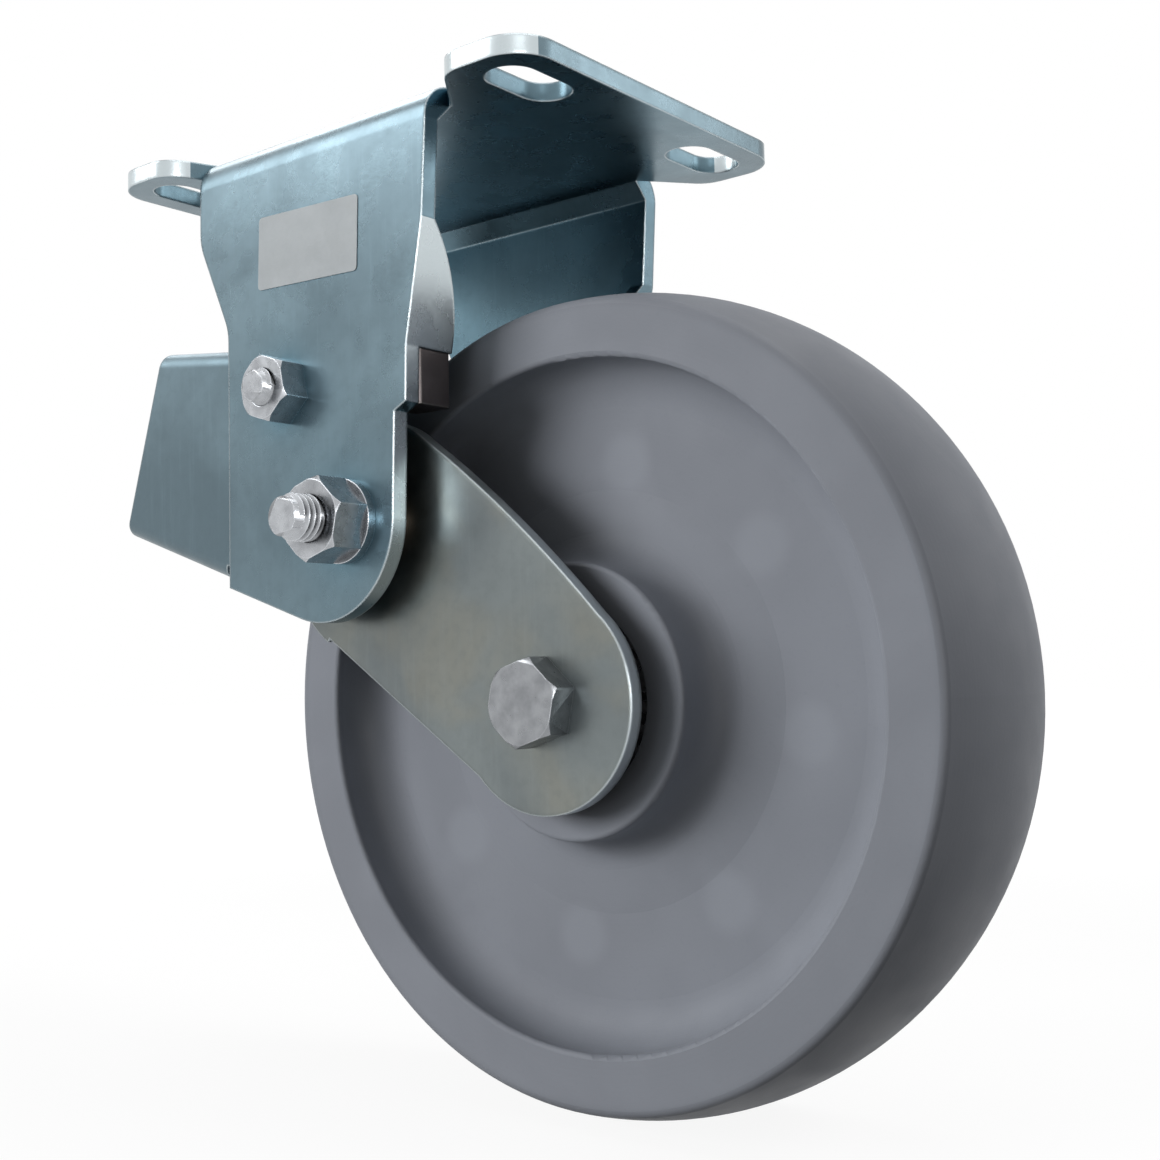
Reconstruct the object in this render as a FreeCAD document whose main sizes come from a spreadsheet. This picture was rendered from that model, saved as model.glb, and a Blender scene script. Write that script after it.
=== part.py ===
import FreeCAD, Part
import math
import os
import re
import Sketcher

# A sprung fixed castor: a pressed housing under a four-slot plate, a swinging arm on two
# pivot bolts, an elastomer spring in a box behind it, and a plain wheel on ball bearings.
# Frame: the centre of the plate's top face, +Z up, +X towards the wheel, +Y along the axle.

doc = FreeCAD.newDocument("FixedCastor")

SIZES = [
    # Pressed housing
    ("sheet", 4.76),
    ("bend_radius", 9.4),
    ("plate_length", 156.8),
    ("plate_width", 111.0),
    ("ear_radius", 11.0),
    ("ear_root", 54.0),
    ("ear_root_radius", 9.0),
    ("slot_pitch_long", 129.4),
    ("slot_pitch_across", 73.8),
    ("slot_width", 13.5),
    ("slot_length", 25.4),
    ("leg_outer", 48.0),
    ("leg_setback", 3.6),
    ("leg_top_half", 44.0),
    ("leg_waist_half", 32.0),
    ("leg_shoulder_drop", 24.9),
    ("leg_waist_drop", 50.9),
    ("leg_heel_below", 14.4),
    ("leg_toe_below", 34.8),
    ("leg_toe_radius", 26.0),
    ("leg_toe_lean", 2.0),
    ("leg_shoulder_radius", 14.0),
    ("lip_reach", 11.7),
    ("lip_top_drop", 33.9),
    ("lip_front_drop", 64.9),
    ("lip_front", 36.4),
    ("lip_lean", 1.6),
    ("lip_edge_radius", 43.0),
    ("edge_round", 0.8),
    # Guide blocks under the lips
    ("block_height", 14.0),
    ("block_depth", 12.0),
    ("block_setback", 0.4),
    # Pivot and arm
    ("pivot_forward", 10.8),
    ("pivot_drop", 107.1),
    ("arm_length", 71.1),
    ("arm_angle", 40.5),
    ("arm_swing", 12.0),
    ("arm_sheet", 4.1),
    ("arm_inner", 33.0),
    ("arm_end_radius", 26.6),
    ("arm_heel_radius", 35.6),
    ("arm_heel_rise", 12.9),
    ("arm_brow_radius", 372.0),
    ("arm_strip_height", 14.0),
    ("running_gap", 0.05),
    ("side_gap", 0.3),
    ("wheel_clearance", 2.0),
    ("tail_clearance", 3.9),
    # Spring box, in its own tilted frame
    ("box_tilt", 18.5),
    ("box_back", 96.3),
    ("box_below", 28.0),
    ("box_sheet", 3.0),
    ("box_floor_length", 47.0),
    ("box_rear_height", 55.2),
    ("box_front_knee", 42.2),
    ("box_past_bolt", 13.0),
    ("box_over_bolt", 13.0),
    ("box_bend", 4.5),
    ("box_flange", 8.0),
    ("box_notch_rise", 1.0),
    ("box_notch_reach", 4.0),
    ("spring_length", 38.0),
    ("spring_width", 60.0),
    ("spring_setback", 8.0),
    ("spring_height", 39.0),
    ("spring_waist", 3.0),
    ("spring_shoulder", 4.0),
    ("tail_sheet", 6.0),
    ("tail_setback", 7.0),
    # Through bolt over the tail
    ("through_radius", 5.0),
    ("through_head", 6.4),
    ("through_across_flats", 16.0),
    ("through_nut", 8.0),
    ("through_thread_out", 3.0),
    ("through_washer_radius", 10.0),
    ("through_washer", 2.0),
    ("sleeve_radius", 7.0),
    # Pivot bolts
    ("pivot_radius", 6.0),
    ("pivot_head_radius", 12.0),
    ("pivot_head", 3.4),
    ("pivot_washer_radius", 10.8),
    ("pivot_washer", 2.5),
    ("pivot_nut", 10.0),
    ("pivot_thread_out", 8.5),
    ("bush_radius", 8.0),
    ("bush_flange_radius", 11.0),
    ("nut_across_flats", 19.0),
    ("crown_share", 1.03),
    # Axle
    ("axle_radius", 6.0),
    ("axle_head", 7.5),
    ("axle_nut", 10.0),
    ("axle_washer_radius", 12.0),
    ("axle_washer", 2.5),
    ("axle_thread_out", 5.0),
    ("tube_radius", 10.0),
    ("spacer_radius", 13.0),
    ("seat_step_radius", 21.0),
    # Bearings
    ("bearing_radius", 23.5),
    ("bearing_width", 14.0),
    ("bearing_inset", 12.6),
    ("inner_ring_radius", 14.0),
    ("outer_ring_inner", 19.5),
    ("ball_radius", 3.9),
    ("ball_count", 8),
    ("cage_half", 0.9),
    ("cage_width", 10.4),
    ("seal_sheet", 0.8),
    ("seal_inset", 0.5),
    # Wheel
    ("wheel_radius", 101.6),
    ("wheel_half", 25.4),
    ("tread_crown", 4.5),
    ("tread_edge_round", 2.0),
    ("rim_inner_radius", 83.2),
    ("rim_fillet", 10.5),
    ("web_half", 12.7),
    ("hub_radius", 33.6),
    ("hub_half", 26.8),
    ("hub_fillet", 9.0),
    ("hub_cone_radius", 52.0),
    ("hub_cone_rise", 2.6),
    ("hub_edge_round", 1.2),
]

sheet = doc.addObject("Spreadsheet::Sheet", "Dims")
for row, (alias, number) in enumerate(SIZES, start=1):
    sheet.set("A%d" % row, alias)
    sheet.set("B%d" % row, str(number))
    sheet.setAlias("B%d" % row, alias)
doc.recompute()

NAMES = {alias for alias, number in SIZES}
DERIVED = {
    "leg_inner": "(leg_outer - sheet)",
    "leg_heel_drop": "(pivot_drop + leg_heel_below)",
    "leg_toe_drop": "(pivot_drop + leg_toe_below)",
    "arm_outer": "(arm_inner + arm_sheet)",
    "box_outer": "(leg_outer - sheet)",
    "axle_forward": "(pivot_forward + arm_length * cos(arm_angle * 1 deg))",
    "axle_drop": "(pivot_drop + arm_length * sin(arm_angle * 1 deg))",
    # The rest lies in the box's own frame, where the pivot is box_back along and box_below up
    "axle_along": "(box_back + arm_length * cos((arm_angle - box_tilt) * 1 deg))",
    "axle_up": "(box_below - arm_length * sin((arm_angle - box_tilt) * 1 deg))",
    "swung_along": "(box_back + arm_length * cos((arm_angle - box_tilt - arm_swing) * 1 deg))",
    "swung_up": "(box_below - arm_length * sin((arm_angle - box_tilt - arm_swing) * 1 deg))",
    "tail_under": "(box_sheet + spring_height + side_gap)",
    "tail_top": "(tail_under + tail_sheet)",
    "tail_front": "(axle_along - sqrt((wheel_radius + tail_clearance)^2 - (tail_under - axle_up)^2))",
    "through_up": "(tail_top + sleeve_radius)",
    "through_along": "(swung_along - sqrt((wheel_radius + sleeve_radius + wheel_clearance)^2"
                     " - (through_up - swung_up)^2))",
    "box_side_length": "(through_along + box_past_bolt)",
    "box_rise": "((through_up + box_over_bolt - box_rear_height) / through_along)",
    "box_front_height": "(box_rear_height + box_rise * box_side_length)",
    "box_forward": "(pivot_forward - box_back * cos(box_tilt * 1 deg)"
                   " - box_below * sin(box_tilt * 1 deg))",
    "box_drop": "(pivot_drop - box_back * sin(box_tilt * 1 deg)"
                " + box_below * cos(box_tilt * 1 deg))",
    "through_forward": "(box_forward + through_along * cos(box_tilt * 1 deg)"
                       " + through_up * sin(box_tilt * 1 deg))",
    "through_drop": "(box_drop + through_along * sin(box_tilt * 1 deg)"
                    " - through_up * cos(box_tilt * 1 deg))",
}


def bind(text):
    """Turn plain size names into references to the sheet's cells."""
    worked_out = re.compile(r"\b(%s)\b" % "|".join(DERIVED))
    while worked_out.search(text):
        text = worked_out.sub(lambda m: DERIVED[m.group()], text)
    return re.sub(r"\b[a-z_]+\b", lambda m: "Dims." + m.group() if m.group() in NAMES else m.group(), text)


def size(text):
    """The present value of a size or of a sum of sizes."""
    return float(sheet.evalExpression(bind(text)))


def tie(thing, **properties):
    """Bind properties of an object to sizes; a double underscore stands for a dot."""
    for name, text in properties.items():
        thing.setExpression(name.replace("__", "."), bind(text))


def place(thing, forward="0", across="0", drop="0", tilt="0"):
    """Put an object at a point, turned about +Y so that +tilt lowers its +X end."""
    thing.Placement = FreeCAD.Placement(FreeCAD.Vector(), FreeCAD.Rotation(FreeCAD.Vector(0, 1, 0), 1))
    tie(thing, Placement__Base__x=forward, Placement__Base__y=across, Placement__Base__z="-(%s)" % drop)
    tie(thing, Placement__Rotation__Angle="(%s) * 1 deg" % tilt)
    return thing


# Helpers for bodies


def new_body(label):
    body = doc.addObject("PartDesign::Body", label)
    body.Label = label
    return body


def new_sketch(body, plane, shift=None):
    """A sketch on one of the body's own origin planes, shifted along one of its own axes."""
    sketch = body.newObject("Sketcher::SketchObject", "Sketch")
    support = [f for f in body.Origin.OriginFeatures if f.Role == plane][0]
    sketch.AttachmentSupport = [(support, "")]
    sketch.MapMode = "FlatFace"
    if shift:
        tie(sketch, **{"AttachmentOffset__Base__" + shift[0]: shift[1]})
    return sketch


def fix_point(sketch, geometry, end, across, up):
    """Hold one point of a sketch at two expressions."""
    for kind, text in (("DistanceX", across), ("DistanceY", up)):
        index = sketch.addConstraint(Sketcher.Constraint(kind, -1, 1, geometry, end, size(text)))
        sketch.setExpression("Constraints[%d]" % index, bind(text))


def fix_radius(sketch, geometry, text):
    index = sketch.addConstraint(Sketcher.Constraint("Radius", geometry, size(text)))
    sketch.setExpression("Constraints[%d]" % index, bind(text))


def outline(sketch, corners):
    """A closed outline through corners; a corner may name the radius of the arc that leaves it."""
    first = sketch.GeometryCount
    points = [FreeCAD.Vector(size(c[0]), size(c[1]), 0) for c in corners]
    count = len(corners)
    for i in range(count):
        start, end = points[i], points[(i + 1) % count]
        if len(corners[i]) == 3:
            sketch.addGeometry(bulge(start, end, size(corners[i][2])), False)
        else:
            sketch.addGeometry(Part.LineSegment(start, end), False)
    for i in range(count):
        here, after = first + i, first + (i + 1) % count
        sketch.addConstraint(Sketcher.Constraint("Coincident", here, 2, after, 1))
    for i in range(count):
        fix_point(sketch, first + i, 1, corners[i][0], corners[i][1])
        if len(corners[i]) == 3:
            fix_radius(sketch, first + i, corners[i][2])


def bulge(start, end, radius):
    """A short arc that bulges to the right of the way from start to end."""
    chord = end - start
    side = FreeCAD.Vector(chord.y, -chord.x, 0).normalize()
    depth = radius - math.sqrt(radius ** 2 - (chord.Length / 2) ** 2)
    middle = (start + end) * 0.5 + side * depth
    return Part.Arc(start, middle, end)


def circles(sketch, places):
    """Circles given as (across, up, radius)."""
    for across, up, radius in places:
        centre = FreeCAD.Vector(size(across), size(up), 0)
        index = sketch.addGeometry(Part.Circle(centre, FreeCAD.Vector(0, 0, 1), size(radius)), False)
        fix_point(sketch, index, 3, across, up)
        fix_radius(sketch, index, radius)


def slot(sketch, across, up, half_gap, radius):
    """A slot with round ends, long along the sketch's second axis."""
    x = size(across)
    y = size(up)
    reach = size(half_gap)
    r = size(radius)
    axis = FreeCAD.Vector(0, 0, 1)
    top_circle = Part.Circle(FreeCAD.Vector(x, y + reach, 0), axis, r)
    low_circle = Part.Circle(FreeCAD.Vector(x, y - reach, 0), axis, r)
    top = sketch.addGeometry(Part.ArcOfCircle(top_circle, 0, math.pi), False)
    left = sketch.addGeometry(Part.LineSegment(FreeCAD.Vector(x - r, y + reach, 0),
                                               FreeCAD.Vector(x - r, y - reach, 0)), False)
    low = sketch.addGeometry(Part.ArcOfCircle(low_circle, math.pi, 2 * math.pi), False)
    right = sketch.addGeometry(Part.LineSegment(FreeCAD.Vector(x + r, y - reach, 0),
                                                FreeCAD.Vector(x + r, y + reach, 0)), False)
    for one, other in ((top, left), (left, low), (low, right), (right, top)):
        sketch.addConstraint(Sketcher.Constraint("Tangent", one, 2, other, 1))
    fix_point(sketch, top, 3, across, "%s + %s" % (up, half_gap))
    fix_point(sketch, low, 3, across, "%s - %s" % (up, half_gap))
    fix_radius(sketch, top, radius)


def pad(body, sketch, length, symmetric=False, reverse=False):
    feature = body.newObject("PartDesign::Pad", "Pad")
    feature.Profile = sketch
    feature.Midplane = symmetric
    feature.Reversed = reverse
    tie(feature, Length=length)
    doc.recompute()
    return feature


def pocket(body, sketch, length, symmetric=True, reverse=False):
    """Cut a sketch out of the body, and insist that it removes material."""
    before = body.Shape.Volume
    feature = body.newObject("PartDesign::Pocket", "Pocket")
    feature.Profile = sketch
    feature.Midplane = symmetric
    feature.Reversed = reverse
    tie(feature, Length=length)
    doc.recompute()
    if body.Shape.Volume >= before - 1e-6:
        raise RuntimeError("a pocket cut nothing in " + body.Label)
    return feature


def revolve(body, sketch):
    feature = body.newObject("PartDesign::Revolution", "Revolution")
    feature.Profile = sketch
    feature.ReferenceAxis = (sketch, ["V_Axis"])
    feature.Angle = 360
    doc.recompute()
    return feature


def round_edges(body, radius, wanted):
    """Round the edges of the body's present shape that a test picks."""
    base = body.Tip
    names = ["Edge%d" % (i + 1) for i, edge in enumerate(base.Shape.Edges) if wanted(edge)]
    if not names:
        raise RuntimeError("no edge to round in " + body.Label)
    feature = body.newObject("PartDesign::Fillet", "Fillet")
    feature.Base = (base, names)
    tie(feature, Radius=radius)
    doc.recompute()
    return feature


def near(value, text):
    return abs(value - size(text)) < 0.01


def runs_along(edge, axis):
    """Whether a straight edge runs along X, Y or Z."""
    if edge.Curve.TypeId != "Part::GeomLine":
        return False
    ends = [v.Point for v in edge.Vertexes]
    return abs(abs((ends[1] - ends[0]).normalize()[axis]) - 1) < 1e-6


# Helpers for turned pieces and fasteners


def rod(name, radius, start, end, side, hole=None):
    """A round piece along the axle direction between two distances from the middle plane."""
    outer = doc.addObject("Part::Cylinder", name + "Outer")
    tie(outer, Radius=radius, Height="%s - (%s)" % (end, start))
    turn(outer, start, side)
    if hole is None:
        return outer
    inner = doc.addObject("Part::Cylinder", name + "Bore")
    tie(inner, Radius=hole, Height="%s - (%s) + 2" % (end, start))
    turn(inner, "%s - 1" % start, side)
    cut = doc.addObject("Part::Cut", name)
    cut.Base = outer
    cut.Tool = inner
    return cut


def turn(thing, start, side):
    """Lay a piece made along +Z along the axle direction, on the side given."""
    rotation = FreeCAD.Rotation(FreeCAD.Vector(1, 0, 0), -90 * side)
    thing.Placement = FreeCAD.Placement(FreeCAD.Vector(), rotation)
    tie(thing, Placement__Base__y="%d * (%s)" % (side, start))


def hexagon(name, across_flats, start, end, side, spin=0):
    """A hexagon with its tip edges turned to a cone, spun from having two corners up and down."""
    prism = doc.addObject("Part::Prism", name + "Hex")
    prism.Polygon = 6
    tie(prism, Circumradius="(%s) / sqrt(3)" % across_flats, Height="%s - (%s)" % (end, start))
    rotation = FreeCAD.Rotation(FreeCAD.Vector(1, 0, 0), -90 * side)
    rotation = rotation.multiply(FreeCAD.Rotation(FreeCAD.Vector(0, 0, 1), 90 + spin))
    prism.Placement = FreeCAD.Placement(FreeCAD.Vector(), rotation)
    tie(prism, Placement__Base__y="%d * (%s)" % (side, start))
    cone = doc.addObject("Part::Cone", name + "Cone")
    tie(cone, Height="%s - (%s)" % (end, start))
    tie(cone, Radius1="(%s) / 2 * crown_share + %s - (%s)" % (across_flats, end, start),
        Radius2="(%s) / 2 * crown_share" % across_flats)
    turn(cone, start, side)
    common = doc.addObject("Part::Common", name + "Crown")
    common.Base = prism
    common.Tool = cone
    return common


def union(name, pieces):
    fuse = doc.addObject("Part::MultiFuse", name)
    fuse.Shapes = pieces
    return fuse


def minus(name, base, tool):
    cut = doc.addObject("Part::Cut", name)
    cut.Base = base
    cut.Tool = tool
    return cut


SUBPARTS = []


def finish(thing, label, forward="0", drop="0"):
    """Name a finished sub-part, move it to its axis and keep it for the export."""
    thing.Label = label
    tie(thing, Placement__Base__x=forward, Placement__Base__z="-(%s)" % drop)
    SUBPARTS.append(thing)
    return thing


SIDES = (("near", -1), ("far", 1))
AT_AXLE = {"forward": "axle_forward", "drop": "axle_drop"}
AT_PIVOT = {"forward": "pivot_forward", "drop": "pivot_drop"}
AT_THROUGH = {"forward": "through_forward", "drop": "through_drop"}


# Housing


def make_housing():
    """Plate with four ears and two legs, pressed from one sheet."""
    body = new_body("housing")
    channel_pad(body)
    trim_legs(body)
    front_lips(body)
    eared_plate(body)
    plate_slots(body)
    leg_holes(body)
    SUBPARTS.append(body)
    return body


def channel_pad(body):
    """The folded section: flat crown, two bends, two straight legs."""
    sketch = new_sketch(body, "YZ_Plane", ("z", "-leg_setback"))
    outline(sketch, [
        ("-leg_outer", "-leg_toe_drop"),
        ("-leg_inner", "-leg_toe_drop"),
        ("-leg_inner", "-bend_radius"),
        ("-leg_outer + bend_radius", "-sheet"),
        ("leg_outer - bend_radius", "-sheet"),
        ("leg_inner", "-bend_radius"),
        ("leg_inner", "-leg_toe_drop"),
        ("leg_outer", "-leg_toe_drop"),
        ("leg_outer", "-bend_radius", "bend_radius"),
        ("leg_outer - bend_radius", "0"),
        ("-leg_outer + bend_radius", "0", "bend_radius"),
        ("-leg_outer", "-bend_radius"),
    ])
    pad(body, sketch, "2 * leg_top_half", symmetric=True)


def trim_legs(body):
    """Cut both legs to their side view: wide shoulders, a waist and a rounded toe."""
    sketch = new_sketch(body, "XZ_Plane", ("x", "-leg_setback"))
    outline(sketch, [
        ("-leg_top_half - 20", "-bend_radius"),
        ("-leg_top_half - 20", "-leg_toe_drop - 20"),
        ("leg_top_half + 20", "-leg_toe_drop - 20"),
        ("leg_top_half + 20", "-bend_radius"),
        ("leg_top_half", "-bend_radius"),
        ("leg_top_half - lip_lean", "-lip_top_drop"),
        ("lip_front", "-lip_front_drop"),
        ("lip_front - block_setback", "-lip_front_drop - block_height"),
        ("leg_waist_half", "-lip_front_drop - block_height - leg_toe_lean"),
        ("leg_waist_half - leg_toe_lean", "-leg_toe_drop"),
        ("-leg_waist_half", "-leg_heel_drop"),
        ("-leg_waist_half", "-leg_waist_drop"),
        ("-leg_top_half", "-leg_shoulder_drop"),
        ("-leg_top_half", "-bend_radius"),
    ])
    pocket(body, sketch, "2 * leg_outer + 20")
    round_edges(body, "leg_toe_radius", lambda e: runs_along(e, 1)
                and near(e.Vertexes[0].Z, "-leg_toe_drop"))
    round_edges(body, "leg_shoulder_radius", lambda e: runs_along(e, 1)
                and (near(e.Vertexes[0].Z, "-leg_waist_drop") or near(e.Vertexes[0].Z, "-leg_shoulder_drop")))


def front_lips(body):
    """A stiffening lip turned inwards on the front edge of each leg, growing from nothing at its top."""
    bar = new_sketch(body, "XZ_Plane", ("x", "-leg_setback"))
    outline(bar, [
        ("leg_top_half - lip_lean", "-lip_top_drop"),
        ("lip_front", "-lip_front_drop"),
        ("lip_front - sheet", "-lip_front_drop"),
        ("leg_top_half - lip_lean - sheet", "-lip_top_drop"),
    ])
    pad(body, bar, "2 * leg_inner + 1", symmetric=True)
    gap = new_sketch(body, "YZ_Plane")
    outline(gap, [
        ("leg_inner", "-lip_top_drop", "lip_edge_radius"),
        ("leg_inner - lip_reach", "-lip_front_drop"),
        ("leg_inner - lip_reach", "-lip_front_drop - 2"),
        ("-leg_inner + lip_reach", "-lip_front_drop - 2"),
        ("-leg_inner + lip_reach", "-lip_front_drop", "lip_edge_radius"),
        ("-leg_inner", "-lip_top_drop"),
    ])
    pocket(body, gap, "4 * leg_top_half")


def eared_plate(body):
    """The flat plate with its four round ears."""
    sketch = new_sketch(body, "XY_Plane")
    corners = []
    for sx, sy, order in ((1, 1, 1), (-1, 1, -1), (-1, -1, 1), (1, -1, -1)):
        ear = [
            ("%d * plate_length / 2" % sx, "%d * plate_width / 2" % sy),
            ("%d * ear_root" % sx, "%d * plate_width / 2" % sy),
            ("%d * leg_top_half - leg_setback" % sx, "%d * (leg_outer - bend_radius)" % sy),
        ]
        corners += ear[::order]
    outline(sketch, corners)
    pad(body, sketch, "sheet", reverse=True)
    round_edges(body, "ear_radius", lambda e: runs_along(e, 2)
                and near(abs(e.Vertexes[0].X), "plate_length / 2"))
    round_edges(body, "ear_root_radius", lambda e: runs_along(e, 2) and near(abs(e.Vertexes[0].X), "ear_root")
                and near(abs(e.Vertexes[0].Y), "plate_width / 2"))


def plate_slots(body):
    """Four bolt slots, long across the plate."""
    sketch = new_sketch(body, "XY_Plane")
    for sx in (-1, 1):
        for sy in (-1, 1):
            slot(sketch, "%d * slot_pitch_long / 2" % sx, "%d * slot_pitch_across / 2" % sy,
                 "(slot_length - slot_width) / 2", "(slot_width / 2)")
    pocket(body, sketch, "2 * sheet + 2")


def leg_holes(body):
    """Holes for the pivot bolts and the through bolt, in both legs at once."""
    sketch = new_sketch(body, "XZ_Plane")
    circles(sketch, [
        ("pivot_forward", "-pivot_drop", "(pivot_radius + running_gap)"),
        ("through_forward", "-through_drop", "(through_radius + running_gap)"),
    ])
    pocket(body, sketch, "2 * leg_outer + 2")


def make_guide_block(tag, side):
    """A plain block fixed inside the front of a leg, over the arm."""
    block = doc.addObject("Part::Box", "GuideBlock" + tag)
    tie(block, Length="block_depth", Width="lip_reach", Height="block_height")
    start = "leg_inner - lip_reach" if side > 0 else "-leg_inner"
    tie(block, Placement__Base__x="lip_front - block_setback - block_depth - leg_setback", Placement__Base__y=start,
        Placement__Base__z="-lip_front_drop - block_height")
    rounded = doc.addObject("Part::Chamfer", "GuideBlockEdges" + tag)
    rounded.Base = block
    doc.recompute()
    chamfer = size("edge_round")
    rounded.Edges = [(i + 1, chamfer, chamfer) for i, e in enumerate(block.Shape.Edges) if runs_along(e, 2)]
    rounded.Label = "guide_block_" + tag
    SUBPARTS.append(rounded)


# Spring box and spring


def make_spring_box():
    """A pressed tray with a floor, a rear wall, two high sides and a flange along each, tilted."""
    body = new_body("spring_box")
    side = new_sketch(body, "XZ_Plane")
    notch_up = "box_sheet + box_notch_rise"
    outline(side, [
        ("0", "0"),
        ("box_floor_length", "0"),
        ("box_floor_length + box_notch_rise", notch_up),
        ("box_floor_length + box_notch_rise + box_notch_reach", notch_up),
        ("box_side_length", "box_front_knee"),
        ("box_side_length", "box_front_height"),
        ("0", "box_rear_height"),
    ])
    pad(body, side, "2 * box_outer", symmetric=True)
    round_edges(body, "box_bend", lambda e: (runs_along(e, 0) and near(e.Vertexes[0].Z, "0")))
    round_edges(body, "box_bend", top_edge)
    inside = new_sketch(body, "XZ_Plane")
    outline(inside, [
        ("box_sheet", "box_sheet"),
        ("box_side_length + 5", "box_sheet"),
        ("box_side_length + 5", "box_front_height + 5 * box_rise - box_sheet"),
        ("box_sheet", "box_rear_height + box_sheet * box_rise - box_sheet"),
    ])
    pocket(body, inside, "2 * (box_outer - box_sheet)")
    mouth = new_sketch(body, "XZ_Plane")
    outline(mouth, [
        ("box_sheet", "box_rear_height - 2 * box_sheet"),
        ("box_side_length + 5", "box_rear_height - 2 * box_sheet"),
        ("box_side_length + 5", "box_front_height + 20"),
        ("box_sheet", "box_front_height + 20"),
    ])
    pocket(body, mouth, "2 * (box_outer - box_flange)")
    holes = new_sketch(body, "XZ_Plane")
    circles(holes, [("through_along", "through_up", "(through_radius + running_gap)")])
    pocket(body, holes, "2 * box_outer + 2")
    place(body, "box_forward", "0", "box_drop", "box_tilt")
    SUBPARTS.append(body)


def top_edge(edge):
    """Whether an edge of the box blank is one of the two long ones at the top of its sides."""
    points = sorted((v.Point for v in edge.Vertexes), key=lambda p: p.x)
    ends = [("0", "box_rear_height"), ("box_side_length", "box_front_height")]
    return len(points) == 2 and near(points[0].y, "%s * box_outer" % math.copysign(1, points[1].y)) and all(
        near(point.x, x) and near(point.z, z) for point, (x, z) in zip(points, ends))


def make_spring():
    """An elastomer block with a waist, standing on the box floor."""
    body = new_body("spring_block")
    sketch = new_sketch(body, "XZ_Plane")
    outline(sketch, [
        ("spring_setback", "box_sheet"),
        ("spring_setback + spring_length", "box_sheet"),
        ("spring_setback + spring_length", "box_sheet + spring_shoulder"),
        ("spring_setback + spring_length - spring_waist", "box_sheet + spring_height / 2"),
        ("spring_setback + spring_length", "box_sheet + spring_height - spring_shoulder"),
        ("spring_setback + spring_length", "box_sheet + spring_height"),
        ("spring_setback", "box_sheet + spring_height"),
        ("spring_setback", "box_sheet + spring_height - spring_shoulder"),
        ("spring_setback + spring_waist", "box_sheet + spring_height / 2"),
        ("spring_setback", "box_sheet + spring_shoulder"),
    ])
    pad(body, sketch, "spring_width", symmetric=True)
    place(body, "box_forward", "0", "box_drop", "box_tilt")
    SUBPARTS.append(body)


# Arm


def make_arm_plate(tag, side):
    """One side plate of the swinging arm: two round ends, a wide heel and a tail strip."""
    name = "ArmPlate" + tag
    end = disc(name + "End", side, "arm_end_radius", **AT_AXLE)
    top = disc(name + "Top", side, "arm_end_radius", **AT_PIVOT)
    heel = disc(name + "Heel", side, "arm_heel_radius", **AT_PIVOT)
    lower = doc.addObject("Part::Common", name + "HeelSector")
    lower.Base = heel
    lower.Tool = arm_quarter(name, side)
    plate = union(name + "Blank", [end, top, lower, arm_web(name, side), tail_strip(name, side)])
    pivot_hole = disc(name + "PivotHole", side, "bush_radius", **AT_PIVOT)
    axle_hole = disc(name + "AxleHole", side, "(axle_radius + running_gap)", **AT_AXLE)
    drilled = minus(name, plate, union(name + "Holes", [pivot_hole, axle_hole]))
    drilled.Label = "arm_plate_" + tag
    SUBPARTS.append(drilled)


def arm_start(side):
    """The lower Y of the arm's sheet on one side."""
    return "arm_inner" if side > 0 else "-arm_outer"


def disc(name, side, radius, forward, drop):
    """A disc as thick as the arm's sheet, lying in the plane of one arm plate."""
    piece = doc.addObject("Part::Cylinder", name)
    tie(piece, Radius=radius, Height="arm_sheet")
    piece.Placement = FreeCAD.Placement(FreeCAD.Vector(), FreeCAD.Rotation(FreeCAD.Vector(1, 0, 0), -90))
    tie(piece, Placement__Base__x=forward, Placement__Base__y=arm_start(side),
        Placement__Base__z="-(%s)" % drop)
    return piece


def arm_quarter(name, side):
    """The part of the arm's plane behind and below the pivot, where the heel lies."""
    block = doc.addObject("Part::Box", name + "Quarter")
    tie(block, Length="arm_heel_radius + 1", Width="arm_sheet", Height="arm_heel_radius + arm_heel_rise")
    tilt = "(arm_angle - asin((arm_heel_radius - arm_end_radius) / arm_length) / 1 deg)"
    sine = "sin(%s * 1 deg)" % tilt
    cosine = "cos(%s * 1 deg)" % tilt
    back = "(arm_heel_radius + 1)"
    low = "arm_heel_radius"
    place(block, "pivot_forward - %s * %s - %s * %s" % (back, cosine, low, sine), arm_start(side),
          "pivot_drop - %s * %s + %s * %s" % (back, sine, low, cosine), tilt)
    return block


def arm_web(name, side):
    """The flat between the two round ends, narrowing along the lower edge."""
    body = new_body(name + "Web")
    sketch = new_sketch(body, "XZ_Plane")
    lean = "((arm_heel_radius - arm_end_radius) / arm_length)"
    flat = "sqrt(1 - %s * %s)" % (lean, lean)
    outline(sketch, [
        ("0", "arm_end_radius"),
        ("0", "0"),
        ("-arm_heel_radius * %s" % lean, "-arm_heel_radius * %s" % flat),
        ("arm_length - arm_end_radius * %s" % lean, "-arm_end_radius * %s" % flat),
        ("arm_length", "0"),
        ("arm_length", "arm_end_radius", "arm_brow_radius"),
    ])
    pad(body, sketch, "arm_sheet", reverse=True)
    return place(body, "pivot_forward", arm_start(side), "pivot_drop", "arm_angle")


def tail_strip(name, side):
    """The strip that reaches back into the spring box beside the tail plate."""
    strip = doc.addObject("Part::Box", name + "Strip")
    tie(strip, Length="box_back - tail_setback", Width="arm_sheet", Height="arm_strip_height")
    up = "(tail_top - arm_strip_height)"
    sine = "sin(box_tilt * 1 deg)"
    cosine = "cos(box_tilt * 1 deg)"
    return place(strip, "box_forward + tail_setback * %s + %s * %s" % (cosine, up, sine), arm_start(side),
                 "box_drop + tail_setback * %s - %s * %s" % (sine, up, cosine), "box_tilt")


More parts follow.
